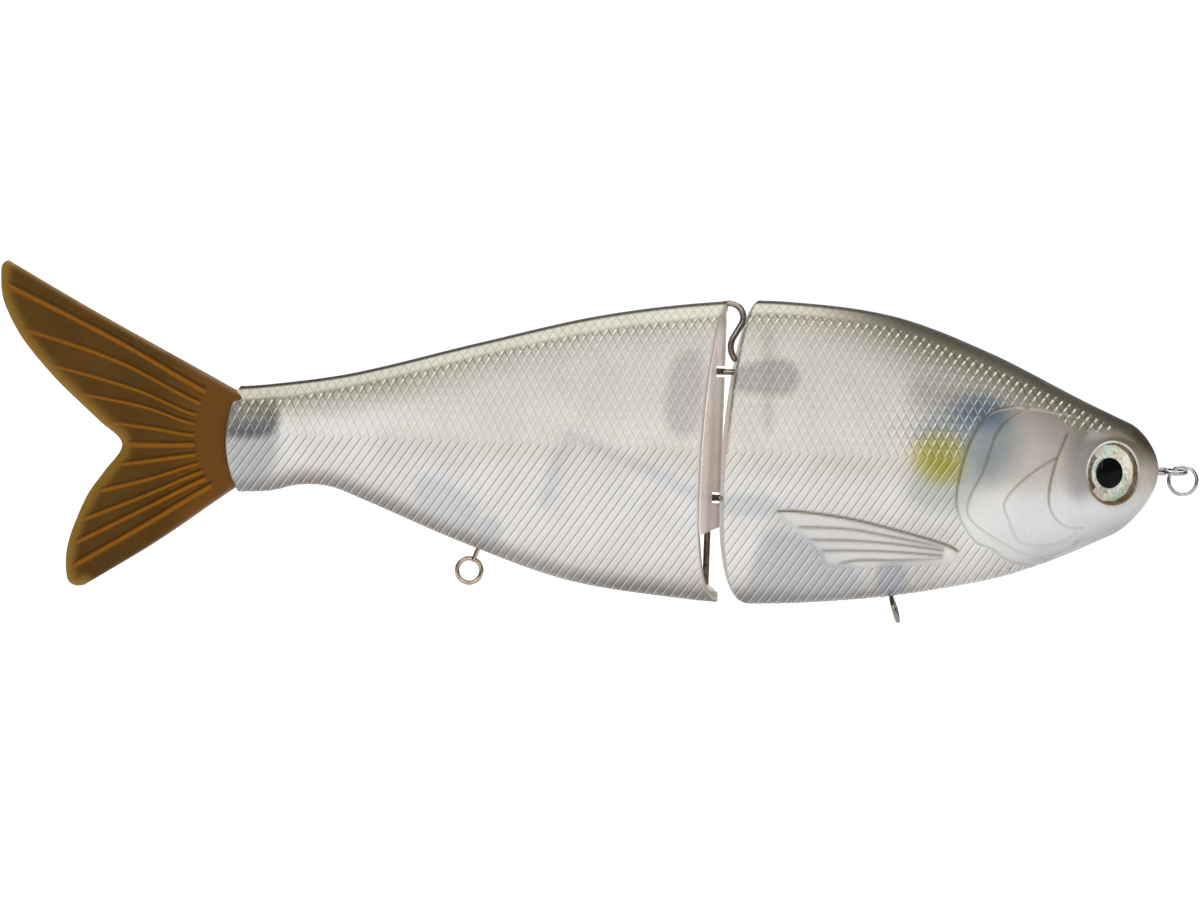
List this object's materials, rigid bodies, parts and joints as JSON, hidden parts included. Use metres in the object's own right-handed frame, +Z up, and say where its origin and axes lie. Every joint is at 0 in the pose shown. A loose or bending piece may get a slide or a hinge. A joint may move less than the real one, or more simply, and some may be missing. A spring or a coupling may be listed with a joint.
{
  "type": "swimbait",
  "caption": "Jointed swimbait with a hollow translucent hard body, a soft forked tail, swivelling hook hangers and a line tie with a split ring.",
  "frame": {"origin": "centre of the line tie's eye", "axes": "+X out of the snout along the body, +Y to the fish's left side, +Z up; the hinge pin is parallel to Z"},
  "size_m": [0.1876, 0.0256, 0.0514],
  "materials": {
    "shell_plastic": "translucent moulded plastic, painted inside and clear-coated",
    "eye_foil": "faceted holographic foil with a black pupil",
    "eye_lens": "clear domed resin",
    "wire_steel": "bright drawn stainless wire",
    "ring_steel": "polished stainless",
    "hanger_steel": "dark nickel-plated wire",
    "bush_brass": "turned brass",
    "ballast_metal": "cast, dull grey",
    "tail_rubber": "soft translucent brown elastomer"
  },
  "bodies": {
    "front": {"front_shell_left": "shell_plastic", "front_shell_right": "shell_plastic", "iris_left": "eye_foil", "iris_right": "eye_foil", "eye_lens_left": "eye_lens", "eye_lens_right": "eye_lens", "line_tie": "wire_steel", "hinge_eye_upper": "wire_steel", "hinge_eye_lower": "wire_steel", "front_ballast": "ballast_metal", "front_hanger_bush": "bush_brass"},
    "split_ring": {"split_ring": "ring_steel"},
    "front_hanger": {"front_hanger": "hanger_steel"},
    "rear": {"rear_shell_left": "shell_plastic", "rear_shell_right": "shell_plastic", "hinge_pin": "wire_steel", "rear_ballast": "ballast_metal", "rear_hanger_bush": "bush_brass", "tail_root": "tail_rubber"},
    "rear_hanger": {"rear_hanger": "hanger_steel"},
    "tail": {"tail_fin": "tail_rubber"}
  },
  "joints": [
    {"name": "body_hinge", "type": "hinge", "parent": "front", "child": "rear", "pos_m": [-0.07275, 0, 0], "axis": [0, 0, 1], "range_deg": [-16, 16]},
    {"name": "tail_flex", "type": "hinge", "parent": "rear", "child": "tail", "pos_m": [-0.15075, 0, 0], "axis": [0, 0, 1], "range_deg": [-20, 20], "stiffness_Nm_per_rad": 0.02},
    {"name": "split_ring_swing", "type": "hinge", "parent": "front", "child": "split_ring", "pos_m": [0.0016, 0, 0], "axis": [0, -1, 0], "range_deg": [-6, 200]},
    {"name": "front_hanger_swivel", "type": "hinge", "parent": "front", "child": "front_hanger", "pos_m": [-0.04385, 0, -0.0207], "axis": [0.309, 0, -0.9511], "continuous": true},
    {"name": "rear_hanger_swivel", "type": "hinge", "parent": "rear", "child": "rear_hanger", "pos_m": [-0.10825, 0, -0.0156], "axis": [-0.342, 0, -0.9397], "continuous": true}
  ]
}
